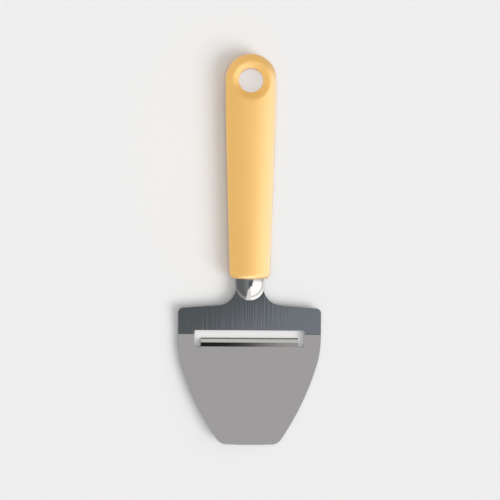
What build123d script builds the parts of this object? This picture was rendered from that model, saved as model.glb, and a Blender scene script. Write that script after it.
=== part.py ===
"""Cheese slicer: a stamped stainless blade with a bent cutting tongue, in a two-shot moulded handle.

The slicer lies face up, as on a table. X runs across the blade, Y runs along the slicer from its tip
to its hang hole, and Z points up. It rests on the cutting edge of its tongue and on the underside of
its handle, both at zero height, and the origin is under the middle of its outline.
"""

from build123d import *
from math import atan2, ceil, cos, hypot, pi, radians, sin, sqrt, tan
import os

# Lengths along the slicer, which add up to its whole length
plate_length = 86.5
neck_length = 15.2
handle_length = 138.3

# The sheet that the blade is stamped from, and the plan of its plate
sheet = 1.5
plate_width = 87.8
tip_width = 35.4
tip_bow = 0.5
side_straight = 17.5
side_bend_length = 18.4
side_bend_depth = 2.8
tip_corner_radius = 7.0
shoulder_drop = 2.7
shoulder_radius = 3.2

# The neck, and the bead that is pressed into it to stiffen it
neck_width = 16.7
flare_radius = 11.4
bead_height = 3.2
bead_overhang = 0.3
nose_from_shoulder = 2.6
nose_foot_radius = 0.6
bead_inside_handle = 6.0
neck_bend_radius = 35.0
neck_bend_from_nose = 0.3

# How the sheet stands: the plate's underside is lifted off the level of its own cutting edge
plate_lift = 2.4
rear_slope = 6.5
front_slope = 2.8
crease_radius = 3.0

# The slot, whose two legs free the tongue from the plate
slot_width = 67.7
slot_gap = 4.8
slot_from_shoulder = 16.3
slot_corner_radius = 1.1
leg_width = 3.9
leg_past_bend = 0.7
leg_outer_radius = 2.0
leg_inner_radius = 0.5

# The tongue, bent down and ground sharp on its upper side
tongue_bend_from_edge = 3.9
tongue_bend_radius = 5.0
bevel_slope = 52.5
edge_land = 0.1

# The tang, the hidden part of the blade
tang_width = 11.0
tang_length = 92.0
tang_corner_radius = 4.0
lock_holes = 2
lock_hole_diameter = 5.0
lock_hole_margin = 9.0
lock_hole_spacing = 40.0

# The handle, an oval bar that narrows from the hang hole to the neck
handle_end_width = 31.2
handle_neck_width = 24.8
handle_end_thickness = 17.0
handle_neck_thickness = 16.0
neck_face_bow = 0.9
neck_face_radius = 3.0

# From the hang hole on, the bar curves in over this share of its length and then tapers straight,
# in spans no longer than this
taper_bend_share = 0.25
span_length = 14.0

# The hang hole and the dished flare round each of its mouths
hang_hole_diameter = 15.0
hang_hole_from_end = 16.4
flare_ring_diameter = 23.5
flare_inner_share = -0.3
flare_outer_share = 1.3
flare_crest_radius = 3.0
land_height = 9.4
flare_points = 24
mouth_bevel = 0.4

# The stiff core under the coloured skin, and the gap between one moulding and the next piece
skin = 2.8
core_from_neck_face = 17.0
core_from_hole = 9.0
mould_gap = 0.05

# One overrun for every cut, so that no cutter ends on the face that it cuts
overrun = 5.0

# How near an edge has to lie to the ring that it is looked for on
edge_search = 0.3

# Places along Y, worked out from the lengths
whole_length = plate_length + neck_length + handle_length
y_tip = -whole_length / 2
y_shoulder = y_tip + plate_length
y_neck_face = y_shoulder + neck_length
y_end = y_neck_face + handle_length
y_slot_rear = y_shoulder - slot_from_shoulder
y_edge = y_slot_rear - slot_gap
y_crease = (y_slot_rear + y_edge) / 2
y_tang_end = y_neck_face + tang_length
y_bead_end = y_neck_face + bead_inside_handle
y_hole = y_end - hang_hole_from_end
y_dome = y_end - handle_end_width / 2
y_core_start = y_neck_face + core_from_neck_face
y_core_end = y_hole - flare_ring_diameter / 2 - core_from_hole

# The bead is the top of a round bar, whose radius follows from its height and its width at the plate
bead_half_width = neck_width / 2 + bead_overhang
bead_radius = (bead_half_width**2 + bead_height**2) / (2 * bead_height)
bead_depth = bead_radius - bead_height - sheet
y_nose = y_shoulder + nose_from_shoulder + bead_half_width
y_neck_bend = y_nose + neck_bend_from_nose + neck_bend_radius * tan(radians(rear_slope) / 2)
y_tang_root = y_bead_end + bead_half_width


def underside(y):
    """Height of the plate's underside, which rises both ways from the crease on the slot's line."""
    slope = rear_slope if y > y_crease else front_slope
    return plate_lift + abs(y - y_crease) * tan(radians(slope))


# The tang runs level, at the height that the plate has reached at the neck's bend
z_tang = underside(y_neck_bend)

# The tongue turns down at a corner in the front of the plate, with a bend on both sides of it
y_tongue_corner = y_edge - tongue_bend_from_edge
z_tongue_corner = underside(y_tongue_corner)
tongue_turn = atan2(z_tongue_corner, tongue_bend_from_edge) - radians(front_slope)
y_tongue_bend = y_tongue_corner - tongue_bend_radius * tan(tongue_turn / 2)
y_leg_end = y_tongue_bend - leg_past_bend
tongue_width = slot_width - 2 * leg_width


def rounded(plan, x, y, radius):
    """An outline with the two mirrored corners near this place rounded."""
    for side in (x, -x):
        plan = fillet(plan.vertices().sort_by_distance((side, y))[0], radius)
    return plan


def plan_outline():
    """The flat outline of the whole blade, from its bowed tip to the end of its tang."""
    half = plate_width / 2
    y_corner = y_shoulder - shoulder_drop
    side_start = (half, y_corner - side_straight)
    side_middle = (half - side_bend_depth, y_corner - side_straight - side_bend_length)
    side_end = (tip_width / 2, y_tip + tip_bow)
    tip_mirror = (-tip_width / 2, y_tip + tip_bow)
    right = Polyline(
        (0, y_tang_end),
        (tang_width / 2, y_tang_end),
        (tang_width / 2, y_tang_root + (neck_width - tang_width) / 2),
        (neck_width / 2, y_tang_root),
        (neck_width / 2, y_shoulder),
        (half, y_corner),
        side_start,
    )
    bend = TangentArc(side_start, side_middle, tangent=(0, -1))
    side = bend + TangentArc(side_middle, side_end, tangent=bend % 1)
    tip = ThreePointArc(side_end, (0, y_tip), tip_mirror)
    halves = [right, side, mirror(right, about=Plane.YZ), mirror(side, about=Plane.YZ)]
    plan = make_face(Curve() + halves + tip)
    plan = rounded(plan, tang_width / 2, y_tang_end, tang_corner_radius)
    plan = rounded(plan, neck_width / 2, y_shoulder, flare_radius)
    plan = rounded(plan, half, y_corner, shoulder_radius)
    plan = rounded(plan, tip_width / 2, y_tip + tip_bow, tip_corner_radius)
    for row in range(lock_holes):
        y = y_tang_end - lock_hole_margin - row * lock_hole_spacing
        plan -= Pos(0, y) * Circle(lock_hole_diameter / 2)
    return plan


def formed_sheet(gap):
    """The sheet bent as the blade is, seen from the side, and still wider than its outline.

    With a gap it is thicker by the gap on both sides, as the room that the mouldings leave for it."""
    corners = [
        (y_tip - overrun, underside(y_tip - overrun) - gap),
        (y_crease, plate_lift - gap),
        (y_neck_bend, z_tang - gap),
        (y_tang_end + overrun, z_tang - gap),
    ]
    line = FilletPolyline(*corners, radius=[crease_radius + sheet, neck_bend_radius])
    profile = make_face(offset(line, amount=sheet + 2 * gap, side=Side.LEFT))
    return extrude(Plane.YZ * profile, amount=plate_width / 2 + overrun, both=True)


def under_sheet(gap):
    """All the room below the sheet at the bead, down past the bar that the bead is taken from."""
    y_ahead = y_nose - bead_radius - overrun
    y_behind = y_bead_end + bead_radius + overrun
    corners = [(y_ahead, underside(y_ahead) - gap), (y_neck_bend, z_tang - gap), (y_behind, z_tang - gap)]
    line = FilletPolyline(*corners, radius=neck_bend_radius)
    floor = -2 * bead_radius
    base = Polyline(corners[-1], (y_behind, floor), (y_ahead, floor), corners[0])
    return extrude(Plane.YZ * make_face(line + base), amount=plate_width, both=True)


def bead_bar(radius):
    """A round bar that lies under the sheet and follows its bend, with a ball at each end."""
    corners = [(y_nose, underside(y_nose)), (y_neck_bend, z_tang), (y_bead_end, z_tang)]
    line = Plane.YZ * FilletPolyline(*corners, radius=neck_bend_radius)
    ends = [Plane(line @ end, x_dir=(1, 0, 0), z_dir=line % end) for end in (0, 1)]
    centres = [end * Pos(0, bead_depth) for end in ends]
    bar = sweep(centres[0] * Circle(radius), path=line)
    return bar + [centre * Sphere(radius) for centre in centres]


def blank(gap=0.0):
    """The formed sheet with its bead still solid, trimmed to the outline of the blade."""
    body = formed_sheet(gap)
    body += bead_bar(bead_radius + gap) - under_sheet(gap)
    plan = plan_outline()
    return body & through(offset(plan, amount=gap) if gap else plan)


def tongue():
    """The tongue from its root in the plate: bent down, then ground to an edge on its upper side."""
    y_root = y_tongue_bend - sheet
    corners = [(y_root, underside(y_root)), (y_tongue_corner, z_tongue_corner), (y_edge, 0)]
    line = FilletPolyline(*corners, radius=tongue_bend_radius)
    profile = make_face(offset(line, amount=sheet, side=Side.LEFT))
    rise = overrun * tan(radians(bevel_slope))
    bevel = Polyline(
        (y_edge - overrun, edge_land + rise),
        (y_edge, edge_land),
        (y_edge + overrun, edge_land),
        (y_edge + overrun, edge_land + rise),
        close=True,
    )
    profile -= make_face(bevel)
    return extrude(Plane.YZ * profile, amount=tongue_width / 2, both=True)


def slot_plan():
    """The slot seen from above, with its two legs, and the room that the bent tongue leaves."""
    middle_y = (y_slot_rear + y_leg_end) / 2
    root_y = y_tongue_bend - leg_past_bend / 2
    slot = Pos(0, middle_y) * Rectangle(slot_width, y_slot_rear - y_leg_end)
    slot -= Pos(0, root_y) * Rectangle(tongue_width, leg_past_bend)
    slot = rounded(slot, slot_width / 2, y_slot_rear, slot_corner_radius)
    slot = rounded(slot, slot_width / 2, y_leg_end, leg_outer_radius)
    return rounded(slot, tongue_width / 2, y_leg_end, leg_inner_radius)


def through(plan):
    """A flat shape made into a cutter that passes through the whole height of the slicer."""
    height = handle_end_thickness + overrun
    return extrude(plan, amount=height, both=True)


def blade():
    """One stamped sheet: plate, slot and tongue, neck with its hollow bead, and tang."""
    body = blank() - bead_bar(bead_radius - sheet)
    body -= through(slot_plan())
    body += tongue()
    foot = edges_at(body, y_nose, bead_half_width).sort_by(Axis.Y)[0]
    return fillet(foot, nose_foot_radius)


def half_axes(y):
    """Half the width and half the thickness of the handle's oval at this place along it."""
    place = (y_dome - y) / (y_dome - y_neck_face)
    if place < taper_bend_share:
        taper = place**2 / (2 * taper_bend_share)
    else:
        taper = place - taper_bend_share / 2
    taper /= 1 - taper_bend_share / 2
    width = handle_end_width + (handle_neck_width - handle_end_width) * taper
    thickness = handle_end_thickness + (handle_neck_thickness - handle_end_thickness) * taper
    return width / 2, thickness / 2


def oval(y, inset):
    """The handle's oval at this place along it, drawn in by the inset and standing on the table."""
    half_width, half_thickness = half_axes(y)
    across = Plane((0, y, half_thickness), x_dir=(1, 0, 0), z_dir=(0, -1, 0))
    return across * Ellipse(half_width - inset, half_thickness - inset)


def oval_bar(y_from, y_to, inset=0.0):
    """The handle's oval bar between two places along it, cut square at both."""
    spans = ceil((y_to - y_from) / span_length)
    places = [y_from + (y_to - y_from) * span / spans for span in range(spans + 1)]
    return loft([oval(y, inset) for y in places], ruled=True)


def domed_end():
    """The handle's end: half of the oval that turns about the upright line through its centre."""
    half_width, half_thickness = half_axes(y_dome)
    across = Plane((0, y_dome, half_thickness), x_dir=(1, 0, 0), z_dir=(0, -1, 0))
    half_oval = Ellipse(half_width, half_thickness)
    half_oval &= Pos(half_width / 2, 0) * Rectangle(half_width, 2 * half_thickness)
    return revolve(across * half_oval, axis=Axis((0, y_dome, 0), (0, 0, 1)), revolution_arc=180)


def handle_top(x, y):
    """Height of the handle's upper side at a place near the hang hole."""
    half_width, half_thickness = half_axes(y_dome)
    along = max(y - y_dome, 0)
    return half_thickness + half_thickness * sqrt(1 - (x**2 + along**2) / half_width**2)


def flare_line(share):
    """A ring on the dished face of the flare, this share of the way from the hole to the crest.

    The dish is level where it meets the hole and follows the handle's round back at its crest, so
    it is shallow at the sides and the end, and steep towards the hand."""
    z_land = (handle_end_thickness + land_height) / 2
    crest = flare_ring_diameter / 2
    radius = hang_hole_diameter / 2 + share * (crest - hang_hole_diameter / 2)
    points = []
    for step in range(flare_points):
        turn = 2 * pi * step / flare_points
        rise = handle_top(crest * cos(turn), y_hole + crest * sin(turn)) - z_land
        points.append((radius * cos(turn), y_hole + radius * sin(turn), z_land + share * rise))
    return Spline(*points, periodic=True)


def flare():
    """The room above the dished face of one flare."""
    lines = [flare_line(share) for share in (flare_inner_share, flare_outer_share)]
    dish = Face.make_surface_from_curves(*lines)
    return extrude(dish, amount=handle_end_thickness, dir=(0, 0, 1))


def edges_at(body, y, radius):
    """The edges of a body that lie on an upright cylinder of this radius round a place along Y."""

    def off(edge):
        middle = edge @ 0.5
        return abs(hypot(middle.X, middle.Y - y) - radius)

    return body.edges().filter_by(lambda edge: edge.geom_type != GeomType.LINE and off(edge) < edge_search)


def neck_face_room():
    """The room ahead of the handle's neck face, which bows out towards the blade."""
    half = handle_neck_width
    bow = neck_face_bow * (half / (handle_neck_width / 2)) ** 2
    line = ThreePointArc((-half, y_neck_face + bow), (0, y_neck_face), (half, y_neck_face + bow))
    y_ahead = y_neck_face - overrun
    base = Polyline(line @ 1, (half, y_ahead), (-half, y_ahead), line @ 0)
    return through(make_face(line + base))


def core_body(gap=0.0):
    """The core's outer form: the handle's oval bar one skin thickness further in."""
    return oval_bar(y_core_start - gap, y_core_end + gap, skin - gap)


def handle_core():
    """The stiff inner moulding, with the slot that the tang fills and pegs through its lock holes."""
    return core_body() - blank(mould_gap)


def handle_shell():
    """The coloured outer moulding, from its bowed neck face to its hang hole with two flares."""
    body = oval_bar(y_neck_face, y_dome) - neck_face_room()
    body = fillet(body.faces().sort_by(Axis.Y)[0].edges(), neck_face_radius)
    body += domed_end()
    body -= through(Pos(0, y_hole) * Circle(hang_hole_diameter / 2))
    above = flare()
    below = mirror(above, about=Plane.XY.offset(handle_end_thickness / 2))
    body -= above
    body -= below
    body = fillet(edges_at(body, y_hole, flare_ring_diameter / 2), flare_crest_radius)
    body = chamfer(edges_at(body, y_hole, hang_hole_diameter / 2), mouth_bevel)
    body -= core_body(mould_gap)
    return body - blank(mould_gap)


parts = {"blade": blade, "handle_core": handle_core, "handle_shell": handle_shell}

os.makedirs("parts", exist_ok=True)
for name, make in parts.items():
    shape = make()
    export_step(shape, f"parts/{name}.step")
    print(name, "volume", round(shape.volume), "solids", len(shape.solids()), "valid", shape.is_valid)
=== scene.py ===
# %% [markdown]
# # A cheese slicer on a white table
#
# The slicer has one stamped steel blade and a yellow plastic handle. The solids come ready made
# from the frame. What is left to make is what the eye reads as steel and as plastic, and the light
# that shows it: a product is mostly seen through what it reflects.

# %% The frame
from math import cos, pi, radians, sin

import bmesh
import bpy
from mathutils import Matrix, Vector

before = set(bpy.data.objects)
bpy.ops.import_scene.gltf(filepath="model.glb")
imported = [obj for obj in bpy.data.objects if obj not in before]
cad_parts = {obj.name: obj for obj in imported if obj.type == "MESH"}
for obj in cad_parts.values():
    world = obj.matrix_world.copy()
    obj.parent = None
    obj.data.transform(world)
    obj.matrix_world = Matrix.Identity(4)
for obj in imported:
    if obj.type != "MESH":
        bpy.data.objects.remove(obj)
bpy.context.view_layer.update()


# %% [markdown]
# ## The camera
#
# The photograph looks straight down from far away, so the camera has a long lens. Its distance is
# chosen first, and the lens then follows from how wide a piece of the table fills the picture. The
# slicer leans a little in the photograph, and the camera is rolled by as much.

# %% A camera straight above
PICTURE = 500
MM_PER_PIXEL = 0.614
MIDDLE_ROW = 249.45
MM = 0.001
CAMERA_HEIGHT = 1.5
SUBJECT_HEIGHT = 7 * MM
ROLL = 0.35
SENSOR_WIDTH = 36.0
FARTHEST_SEEN = 10


def make_camera():
    camera = bpy.data.objects.new("camera", bpy.data.cameras.new("camera"))
    bpy.context.scene.collection.objects.link(camera)
    picture_width = PICTURE * MM_PER_PIXEL * MM
    camera.data.sensor_width = SENSOR_WIDTH
    camera.data.lens = camera.data.sensor_width * CAMERA_HEIGHT / picture_width
    camera.data.clip_end = FARTHEST_SEEN
    middle_y = (MIDDLE_ROW - PICTURE / 2) * MM_PER_PIXEL * MM
    camera.location = (0, middle_y, SUBJECT_HEIGHT + CAMERA_HEIGHT)
    camera.rotation_euler = (0, 0, radians(ROLL))
    bpy.context.scene.camera = camera
    return camera


camera = make_camera()
print("lens in mm:", round(camera.data.lens, 1))

# %% [markdown]
# ## Helpers for materials
#
# Colours are written as sRGB hex values, the way a paint program shows them, and shaders want
# linear light, so one function turns the first into the second. A second function adds a node,
# with its settings and with what feeds it. A third adds the node that is used most, a ramp.

# %% Colours and nodes


def linear(hex_colour):
    """An sRGB hex colour as linear red, green, blue and alpha."""
    channels = [int(hex_colour[i : i + 2], 16) / 255 for i in (1, 3, 5)]
    light = [c / 12.92 if c <= 0.04045 else ((c + 0.055) / 1.055) ** 2.4 for c in channels]
    return (*light, 1.0)


def add(tree, kind, inputs=(), **settings):
    """One more node: its settings, then its inputs, each a value or another node's output."""
    node = tree.nodes.new(kind)
    for name, value in settings.items():
        setattr(node, name, value)
    for name, value in dict(inputs).items():
        if isinstance(value, bpy.types.NodeSocket):
            tree.links.new(value, node.inputs[name])
        else:
            node.inputs[name].default_value = value
    return node


def ramp(tree, value, start, end, low=0.0, high=1.0, **settings):
    """An output that goes from low to high while a value goes from start to end."""
    inputs = {"Value": value, "From Min": start, "From Max": end, "To Min": low, "To Max": high}
    return add(tree, "ShaderNodeMapRange", inputs, **settings).outputs["Result"]


def new_material(name):
    """An empty material with its Principled shader joined to its output."""
    material = bpy.data.materials.new(name)
    material.use_nodes = True
    tree = material.node_tree
    tree.nodes.clear()
    shader = add(tree, "ShaderNodeBsdfPrincipled")
    add(tree, "ShaderNodeOutputMaterial", {"Surface": shader.outputs["BSDF"]})
    return material, tree, shader


def cover(node_name, material):
    """Puts one material on every face of a CAD node."""
    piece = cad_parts[node_name]
    piece.data.materials.clear()
    piece.data.materials.append(material)


print("mid grey in linear light:", [round(c, 3) for c in linear("#808080")])

# %% [markdown]
# ## Brushed stainless steel
#
# The blade is stamped from stainless sheet that was brushed along its length on a belt. Each
# grain of the belt leaves a scratch, so the steel is smooth along the scratches and rough across
# them, and a reflection smears sideways. Two things show that here: an anisotropic shader, which
# smears the reflection, and long thin noise in a bump, which gives the single streaks. The streaks
# are drawn coarser than real ones, because a pixel of the photograph covers 0.6 mm.
#
# The plate in front of the slot mirrors a plain bright patch, so its streaks hardly show. A thin
# dark line along the tongue's edge is painted into the steel's colour: a painted dark reflection of
# a finer edge bevel that the solid doesn't have.

# %% Steel for the blade
STEEL_COLOUR = "#CDCBC8"
STEEL_ROUGHNESS = 0.05
STEEL_ANISOTROPY = 0.5
ACROSS_THE_BELT = {"X": 1.0, "Y": 0.03, "Z": 0.05}
STREAK_WIDTH = 1.3 * MM
STREAK_LENGTH = 40 * MM
STREAK_DEPTH = 0.014 * MM
STREAK_DETAIL = 2.0
FRONT_STREAKS = 0.2
STREAKS_CHANGE_OVER = 2 * MM
# Painted dark reflection: the steel is darker on a thin strip along the tongue's edge.
PAINTED_EDGE_SHADE_COLOUR = "#6A6968"
EDGE_SHADE_FROM_EDGE, EDGE_SHADE_FULLY = 1.0 * MM, 0.6 * MM
EDGE_SHADE_TOP, EDGE_SHADE_TOP_END = 1.5 * MM, 1.8 * MM
LOWEST_BAND = 0.1 * MM

blade_corners = [corner.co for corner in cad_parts["blade"].data.vertices]
EDGE_Y = max(corner.y for corner in blade_corners if corner.z < LOWEST_BAND)


def streak_bump(tree, place, y):
    """The streaks of the belt, fainter in front of the tongue's edge."""
    stretch = (1 / STREAK_WIDTH, 1 / STREAK_LENGTH, 1 / STREAK_LENGTH)
    stretched = add(tree, "ShaderNodeMapping", {"Vector": place, "Scale": stretch})
    noise = {"Vector": stretched.outputs["Vector"], "Scale": 1.0, "Detail": STREAK_DETAIL}
    streaks = add(tree, "ShaderNodeTexNoise", noise)
    start, end = EDGE_Y - STREAKS_CHANGE_OVER, EDGE_Y + STREAKS_CHANGE_OVER
    strength = ramp(tree, y, start, end, FRONT_STREAKS, 1.0)
    bump = {"Height": streaks.outputs["Fac"], "Strength": strength, "Distance": STREAK_DEPTH}
    return add(tree, "ShaderNodeBump", bump).outputs["Normal"]


def steel_colour(tree, y, z):
    """The colour of steel, with a painted dark line: darker on a thin strip that is low down and
    close to the edge.
    """
    near_edge = ramp(tree, y, EDGE_Y - EDGE_SHADE_FROM_EDGE, EDGE_Y - EDGE_SHADE_FULLY)
    # The painted dark line along the edge, standing in for a dark reflection.
    painted_edge_shade = ramp(tree, z, EDGE_SHADE_TOP, EDGE_SHADE_TOP_END, near_edge, 0.0)
    colours = {0: painted_edge_shade, 6: linear(STEEL_COLOUR), 7: linear(PAINTED_EDGE_SHADE_COLOUR)}
    return add(tree, "ShaderNodeMix", colours, data_type="RGBA").outputs[2]


def brushed_steel():
    material, tree, shader = new_material("brushed_stainless_steel")
    place = add(tree, "ShaderNodeTexCoord").outputs["Object"]
    height = add(tree, "ShaderNodeSeparateXYZ", {"Vector": place})
    y, z = height.outputs["Y"], height.outputs["Z"]
    across = add(tree, "ShaderNodeCombineXYZ", ACROSS_THE_BELT)
    tree.links.new(steel_colour(tree, y, z), shader.inputs["Base Color"])
    tree.links.new(streak_bump(tree, place, y), shader.inputs["Normal"])
    tree.links.new(across.outputs["Vector"], shader.inputs["Tangent"])
    shader.inputs["Metallic"].default_value = 1.0
    shader.inputs["Roughness"].default_value = STEEL_ROUGHNESS
    shader.inputs["Anisotropic"].default_value = STEEL_ANISOTROPY
    return material


steel = brushed_steel()
cover("blade", steel)
print("steel on the blade:", steel.name, "edge in mm:", round(EDGE_Y / MM, 2))

# %% [markdown]
# ## Moulded polypropylene
#
# The handle's skin is a soft yellow polypropylene, moulded in a tool with a fine spark-eroded
# texture. That texture is what makes it satin rather than glossy: its highlight is wide and has no
# edge. The core inside it is the same plastic without pigment, and stays out of sight.

# %% Plastic for the handle
YELLOW = "#F8C161"
YELLOW_ROUGHNESS = 0.42
NATURAL = "#E4E0D4"
NATURAL_ROUGHNESS = 0.5
PLASTIC_IOR = 1.49
PLASTIC_SPECULAR = 1.0
GRAIN = 0.35 * MM
GRAIN_DEPTH = 0.02 * MM
GRAIN_STRENGTH = 0.25
GRAIN_DETAIL = 2.0


def satin_plastic(name, hex_colour, roughness):
    material, tree, shader = new_material(name)
    place = add(tree, "ShaderNodeTexCoord").outputs["Object"]
    noise = {"Vector": place, "Scale": 1 / GRAIN, "Detail": GRAIN_DETAIL}
    grain = add(tree, "ShaderNodeTexNoise", noise)
    relief = {"Height": grain.outputs["Fac"], "Strength": GRAIN_STRENGTH, "Distance": GRAIN_DEPTH}
    bump = add(tree, "ShaderNodeBump", relief)
    shader.inputs["Base Color"].default_value = linear(hex_colour)
    shader.inputs["Roughness"].default_value = roughness
    shader.inputs["IOR"].default_value = PLASTIC_IOR
    shader.inputs["Specular IOR Level"].default_value = PLASTIC_SPECULAR
    tree.links.new(bump.outputs["Normal"], shader.inputs["Normal"])
    return material


yellow = satin_plastic("yellow_polypropylene", YELLOW, YELLOW_ROUGHNESS)
natural = satin_plastic("natural_polypropylene", NATURAL, NATURAL_ROUGHNESS)
cover("handle_shell", yellow)
cover("handle_core", natural)
print("plastics:", yellow.name, natural.name)

# %% [markdown]
# ## The lights
#
# A product photographer lights the table and the product apart, with cards and flags. Light
# linking does the same here: each lamp lights one collection. Sun lamps with wide discs keep the
# light even over the whole table.
#
# The table has a lamp straight above and a key light at the lower right, which throws the soft
# shadow up and to the left. The slicer has a lamp above and a weak fill from the left, so its
# handle is lit almost evenly from side to side. Three more lamps only show as gloss on the
# handle: a broad sheen on its right half, a rim along its right edge, and a pale crescent on its
# end at the neck. The steel mirrors none of the lamps that light the slicer: it mirrors the room
# further down.

# %% Three collections to light apart
slicer_only = bpy.data.collections.new("slicer_only")
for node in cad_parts.values():
    slicer_only.objects.link(node)
table_only = bpy.data.collections.new("table_only")
handle_only = bpy.data.collections.new("handle_only")
handle_only.objects.link(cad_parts["handle_shell"])
print("lit on their own:", slicer_only.name, table_only.name, handle_only.name)

# %% Lamps for the table, the slicer and the handle
KEY_ELEVATION = 42
KEY_DIRECTION = -30


def sun(name, lit, elevation, direction, width, energy):
    """A sun lamp that stands in a direction, in degrees, and lights one collection."""
    light = bpy.data.lights.new(name, "SUN")
    light.energy = energy
    light.angle = radians(width)
    lamp = bpy.data.objects.new(name, light)
    bpy.context.scene.collection.objects.link(lamp)
    up, round_z = radians(elevation), radians(direction)
    towards = Vector((cos(up) * cos(round_z), cos(up) * sin(round_z), sin(up)))
    lamp.rotation_mode = "QUATERNION"
    lamp.rotation_quaternion = towards.to_track_quat("Z", "Y")
    lamp.light_linking.receiver_collection = lit
    return lamp


def soft_light(name, lit, elevation, direction, width, share):
    """A lamp that gives level ground this share of its light, and that shows in no reflection."""
    lamp = sun(name, lit, elevation, direction, width, share * pi / sin(radians(elevation)))
    lamp.visible_glossy = False
    return lamp


def gloss_light(name, elevation, direction, half_width, brightness):
    """A lamp that only shows as a soft gloss on the handle."""
    energy = brightness * pi * sin(radians(half_width)) ** 2
    lamp = sun(name, handle_only, elevation, direction, 2 * half_width, energy)
    lamp.data.use_shadow = False
    lamp.visible_diffuse = False
    return lamp


lamps = [
    soft_light("top", slicer_only, elevation=90, direction=0, width=35, share=0.30),
    soft_light("fill", slicer_only, elevation=40, direction=170, width=60, share=0.10),
    soft_light("table_top", table_only, elevation=90, direction=0, width=35, share=0.33),
    soft_light("table_key", table_only, KEY_ELEVATION, KEY_DIRECTION, width=36, share=0.225),
    gloss_light("sheen", elevation=10, direction=-35, half_width=60, brightness=3.6),
    gloss_light("rim", elevation=-20, direction=-10, half_width=25, brightness=6.0),
    gloss_light("neck_end", elevation=10, direction=-95, half_width=20, brightness=6.0),
]
print("lamps:", [(lamp.name, round(lamp.data.energy, 2)) for lamp in lamps])

# %% [markdown]
# ## The table
#
# A seamless sheet of white card. It is a stage, not part of the slicer. Its shading leans towards
# the key light, so that the shadow of the key light counts for more, as on the photograph's
# table. A little of its white comes from the card itself, to keep the open table even. The circle
# of card in the hang hole glows with painted light, lighter than the handle's shade would leave
# it, because the photograph shows it almost white, and the steel mirrors a bright card too.

# %% A white floor
FLOOR_SIZE = 12.0
PAPER_COLOUR = "#EFEFEF"
PAPER_GAIN = 1.10
PAPER_ROUGHNESS = 0.9
PAPER_LEAN = 45
GLOW = 0.05
GLOW_IN_STEEL = 0.9
# Painted light: the card inside the hang hole glows, where the handle's shade would fall.
PAINTED_HOLE_LIGHT = 0.6
HOLE_MIDDLE = (0, 103.6 * MM, 0)
HOLE_RADIUS = 7.5 * MM
HOLE_FADE = 1.05


def mirrored_rays(tree, rays):
    """1 for a ray that a mirror-like surface sent on, and 0 for one from a matt surface."""
    inputs = {0: rays.outputs["Is Glossy Ray"], 1: rays.outputs["Diffuse Depth"]}
    difference = add(tree, "ShaderNodeMath", inputs, operation="SUBTRACT", use_clamp=True)
    return difference.outputs["Value"]


def leaning_normal(tree):
    """The direction that the card's shading faces: up, leaning towards the key light."""
    lean, key = radians(PAPER_LEAN), radians(KEY_DIRECTION)
    faces = {"X": sin(lean) * cos(key), "Y": sin(lean) * sin(key), "Z": cos(lean)}
    return add(tree, "ShaderNodeCombineXYZ", faces).outputs["Vector"]


def own_light_share(tree):
    """How much of the card's white is its own glow: a little, more in the steel, and painted light
    in the hang hole.
    """
    rays = add(tree, "ShaderNodeLightPath")
    place = add(tree, "ShaderNodeTexCoord").outputs["Object"]
    away = add(tree, "ShaderNodeVectorMath", {0: place, 1: HOLE_MIDDLE}, operation="DISTANCE")
    # Painted light: more glow inside the hang hole, over the handle's shade.
    seen = ramp(tree, away.outputs["Value"], HOLE_RADIUS, HOLE_FADE * HOLE_RADIUS, PAINTED_HOLE_LIGHT, GLOW)
    in_steel = {0: mirrored_rays(tree, rays), 1: GLOW_IN_STEEL}
    in_steel = add(tree, "ShaderNodeMath", in_steel, operation="MULTIPLY").outputs["Value"]
    share = {0: rays.outputs["Is Camera Ray"], 1: seen, 2: in_steel}
    return add(tree, "ShaderNodeMath", share, operation="MULTIPLY_ADD").outputs["Value"]


def white_card():
    material, tree, shader = new_material("white_card")
    base = [channel * PAPER_GAIN for channel in linear(PAPER_COLOUR)[:3]]
    shader.inputs["Base Color"].default_value = (*base, 1.0)
    shader.inputs["Roughness"].default_value = PAPER_ROUGHNESS
    shader.inputs["Specular IOR Level"].default_value = 0.0
    tree.links.new(leaning_normal(tree), shader.inputs["Normal"])
    glow = add(tree, "ShaderNodeEmission", {"Color": linear(PAPER_COLOUR), "Strength": 1.0})
    shaders = {0: own_light_share(tree), 1: shader.outputs["BSDF"], 2: glow.outputs["Emission"]}
    mixed = add(tree, "ShaderNodeMixShader", shaders)
    tree.links.new(mixed.outputs["Shader"], tree.nodes["Material Output"].inputs["Surface"])
    return material


def white_floor():
    shape = bmesh.new()
    bmesh.ops.create_grid(shape, x_segments=1, y_segments=1, size=FLOOR_SIZE / 2)
    mesh = bpy.data.meshes.new("floor")
    shape.to_mesh(mesh)
    shape.free()
    mesh.materials.append(white_card())
    floor = bpy.data.objects.new("floor", mesh)
    bpy.context.scene.collection.objects.link(floor)
    table_only.objects.link(floor)
    return floor


floor = white_floor()
print("floor:", floor.name)

# %% [markdown]
# ## The studio in the steel
#
# Steel has hardly a colour of its own: it shows the room. The world is that room, painted by
# direction, with a few soft-edged sides laid over each other. Only mirrored rays see it, while the
# camera sees white paper and all other rays see an even light from above.
#
# A side is one part of the sky, cut off by a plane. A normal gives the plane: a direction belongs
# to the side when it reaches further along the normal than the start. Two or three sides together
# bound a wall, a strip or a soft box.

# %% Brushes for a room
RIGHT, LEFT = (1, 0, 0), (-1, 0, 0)
FAR, NEAR = (0, 1, 0), (0, -1, 0)
UP, DOWN = (0, 0, 1), (0, 0, -1)


def grey(brightness):
    return (brightness, brightness, brightness, 1)


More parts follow.
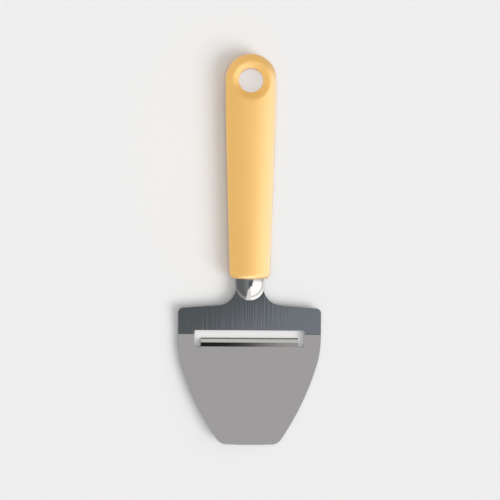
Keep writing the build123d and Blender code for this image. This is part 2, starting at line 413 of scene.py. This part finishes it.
class Sky:
    """The nodes of a world, with the brushes that paint it by direction."""

    def __init__(self, tree):
        self.tree = tree
        self.direction = add(tree, "ShaderNodeTexCoord").outputs["Generated"]

    def side(self, normal, soft, start=0.0):
        """1 in the directions that lie further along a normal than the start, with a soft step."""
        inputs = {0: self.direction, 1: normal}
        along = add(self.tree, "ShaderNodeVectorMath", inputs, operation="DOT_PRODUCT")
        smooth = {"interpolation_type": "SMOOTHSTEP"}
        return ramp(self.tree, along.outputs["Value"], start - soft, start + soft, **smooth)

    def all_of(self, *sides):
        """1 where every side is 1."""
        common = sides[0]
        for other in sides[1:]:
            inputs = {0: common, 1: other}
            product = add(self.tree, "ShaderNodeMath", inputs, operation="MULTIPLY")
            common = product.outputs["Value"]
        return common

    def laid_over(self, under, over, where):
        """One colour over another, where the last input is 1."""
        inputs = {0: where, 6: under, 7: over}
        return add(self.tree, "ShaderNodeMix", inputs, data_type="RGBA").outputs[2]


print("a grey of the room:", grey(0.5))

# %% [markdown]
# ## The walls
#
# The plates lie almost level, so from above each one mirrors a small spot of the room.
#
# - The plate behind the slot slopes towards the viewer and mirrors the near wall. That wall is
#   dark, and darker on its left, which the brushing smears into a slow change from dark to less
#   dark.
# - The left of the neck's round bead mirrors the left end of the near wall, which is a bit
#   lighter.
# - The bend of the tongue mirrors a narrow strip of the far wall, half black and half grey.
# - The plate in front of the slot slopes the other way, and mirrors a light patch close to the
#   zenith.
# - Low directions are a plain grey, and on the far side it reaches further up. From above only
#   the steep rim of the bead mirrors it, but from the sides it keeps the blade steel.

# %% Walls, a patch and a plain horizon
CEILING, CEILING_TOP = grey(0.50), grey(0.34)
NEAR_WALL_LEFT, NEAR_WALL_RIGHT = (0.125, 0.143, 0.158, 1), (0.262, 0.292, 0.337, 1)
LEFT_END_LOW, LEFT_END_HIGH = (0.185, 0.19, 0.205, 1), (0.28, 0.31, 0.31, 1)
FAR_WALL_LEFT, FAR_WALL_RIGHT = grey(0.01), grey(0.50)
HORIZON = grey(0.45)
PATCH = (0.565, 0.56, 0.575, 1)
NEAR_WALL_SPLIT = (0.508, -0.834, -0.2166)
LEFT_END_BORDER, LEFT_END_RISE = (-0.99, 0, -0.10), (1, 0, 0.50)
FAR_STRIP_START = (0, 0.988, -0.156)
FAR_WALL_SPLIT = (1, -0.004, -0.004)
PATCH_NEAR_BORDER, PATCH_FAR_BORDER = (0, 0.998, 0.06), (0, -0.988, 0.156)
PATCH_LEFT_BORDER = (0.966, 0, 0.26)


def ceiling(sky):
    return sky.laid_over(CEILING, CEILING_TOP, sky.side(UP, soft=0.35, start=0.55))


def with_near_wall(sky, room):
    right_part = sky.side(NEAR_WALL_SPLIT, soft=0.006)
    wall = sky.laid_over(NEAR_WALL_LEFT, NEAR_WALL_RIGHT, right_part)
    left_end = sky.laid_over(LEFT_END_LOW, LEFT_END_HIGH, sky.side(LEFT_END_RISE, soft=0.25))
    wall = sky.laid_over(wall, left_end, sky.side(LEFT_END_BORDER, soft=0.05))
    return sky.laid_over(room, wall, sky.side(NEAR, soft=0.02, start=-0.05))


def with_far_strip(sky, room):
    strip = sky.all_of(
        sky.side(RIGHT, soft=0.02, start=-0.06),
        sky.side(LEFT, soft=0.02, start=-0.06),
        sky.side(FAR_STRIP_START, soft=0.01),
    )
    right_part = sky.side(FAR_WALL_SPLIT, soft=0.010)
    wall = sky.laid_over(FAR_WALL_LEFT, FAR_WALL_RIGHT, right_part)
    return sky.laid_over(room, wall, strip)


def with_horizon(sky, room):
    room = sky.laid_over(HORIZON, room, sky.side(UP, soft=0.125, start=0.225))
    low = sky.side(DOWN, soft=0.10, start=-0.45)
    return sky.laid_over(room, HORIZON, sky.all_of(low, sky.side(FAR, soft=0.05, start=0.15)))


def with_patch(sky, room):
    patch = sky.all_of(
        sky.side(PATCH_NEAR_BORDER, soft=0.05),
        sky.side(PATCH_FAR_BORDER, soft=0.03),
        sky.side(PATCH_LEFT_BORDER, soft=0.06),
    )
    return sky.laid_over(room, PATCH, patch)


print("near wall, left and right:", NEAR_WALL_LEFT[:3], NEAR_WALL_RIGHT[:3])

# %% [markdown]
# ## The soft box
#
# The right side of the neck's bead shows a white reflection with a sharp border. It comes from a
# big soft box at the lower right. From behind, the whole blade would mirror that box and turn
# white, so the box is dimmer in the two places that the blade mirrors then: a band low over the
# table, and the strip straight towards the viewer.

# %% A soft box at the lower right
BOX, BOX_BAND, BOX_STRIP = grey(1.65), grey(1.05), grey(1.12)
BOX_LEFT_BORDER, BOX_FAR_BORDER = (0.641, -0.706, -0.301), (0.975, -0.222, 0.053)


def with_soft_box(sky, room):
    box = sky.all_of(
        sky.side(BOX_LEFT_BORDER, soft=0.01),
        sky.side(BOX_FAR_BORDER, soft=0.02),
        sky.side(NEAR, soft=0.06, start=0.06),
    )
    band = sky.all_of(sky.side(UP, soft=0.04, start=0.20), sky.side(DOWN, soft=0.05, start=-0.41))
    light = sky.laid_over(BOX, BOX_BAND, band)
    light = sky.laid_over(BOX_STRIP, light, sky.side(RIGHT, soft=0.05, start=0.09))
    return sky.laid_over(room, light, box)


print("soft box:", BOX[0], "band:", BOX_BAND[0], "strip:", BOX_STRIP[0])

# %% [markdown]
# ## The world
#
# Three kinds of rays get three worlds. Mirrored rays get the room. The camera gets the white of
# the paper. The others get an even dome, dark at the horizon, which gives the handle about half
# of its light. The world isn't sampled like a lamp, because only mirrored rays see its bright box.

# %% The room, the paper and the dome
DOME = 0.5
DOME_START, DOME_END = 0.05, 0.35


def even_dome(sky):
    height = add(sky.tree, "ShaderNodeSeparateXYZ", {"Vector": sky.direction}).outputs["Z"]
    smooth = {"interpolation_type": "SMOOTHSTEP"}
    level = ramp(sky.tree, height, DOME_START, DOME_END, 0.0, DOME, **smooth)
    channels = {"Red": level, "Green": level, "Blue": level}
    return add(sky.tree, "ShaderNodeCombineColor", channels).outputs["Color"]


def studio_world():
    world = bpy.data.worlds.new("studio")
    bpy.context.scene.world = world
    world.use_nodes = True
    world.cycles.sampling_method = "NONE"
    tree = world.node_tree
    tree.nodes.clear()
    sky = Sky(tree)
    room = ceiling(sky)
    for paint in (with_near_wall, with_far_strip, with_horizon, with_patch, with_soft_box):
        room = paint(sky, room)
    rays = add(tree, "ShaderNodeLightPath")
    seen = sky.laid_over(even_dome(sky), room, mirrored_rays(tree, rays))
    seen = sky.laid_over(seen, linear(PAPER_COLOUR), rays.outputs["Is Camera Ray"])
    background = add(tree, "ShaderNodeBackground", {"Color": seen, "Strength": 1.0})
    add(tree, "ShaderNodeOutputWorld", {"Surface": background.outputs["Background"]})
    return world


studio = studio_world()
print("world:", studio.name, "with", len(studio.node_tree.nodes), "nodes")

# %% [markdown]
# ## The view transform
#
# The picture is shown with the Standard view transform.

scene = bpy.context.scene
scene.view_settings.view_transform = "Standard"
